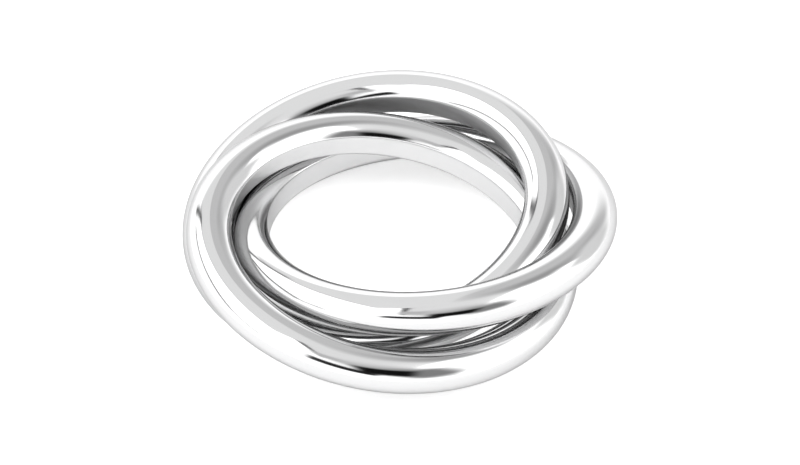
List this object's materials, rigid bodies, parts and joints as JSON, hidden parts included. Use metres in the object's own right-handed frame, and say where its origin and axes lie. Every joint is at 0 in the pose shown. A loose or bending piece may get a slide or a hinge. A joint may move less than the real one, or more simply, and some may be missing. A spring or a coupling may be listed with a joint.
{
  "type": "rolling finger ring",
  "caption": "Rolling finger ring of linked plain round bands in polished silver, lying nested flat, with a clear upright hole for a finger.",
  "frame": {"origin": "middle of the ring's outline, on the surface that it lies on", "axes": "+Z upright, along the finger hole; the picture looks along +Y from the front and above, with +X to its right"},
  "size_m": [0.0304, 0.0314, 0.0071],
  "materials": {
    "polished_silver": "polished"
  },
  "bodies": {
    "front_band": {"front_band": "polished_silver"},
    "right_band": {"right_band": "polished_silver"},
    "back_band": {"back_band": "polished_silver"}
  },
  "joints": [
    {"name": "right_band_turn", "type": "hinge", "parent": "front_band", "child": "right_band", "pos_m": [0.00155, 0.00057, 0.00354], "axis": [-0.0361, 0.1699, 0.9848], "continuous": true},
    {"name": "back_band_turn", "type": "hinge", "parent": "front_band", "child": "back_band", "pos_m": [-0.00163, 0.00208, 0.00329], "axis": [-0.1214, -0.0931, 0.9882], "continuous": true}
  ]
}
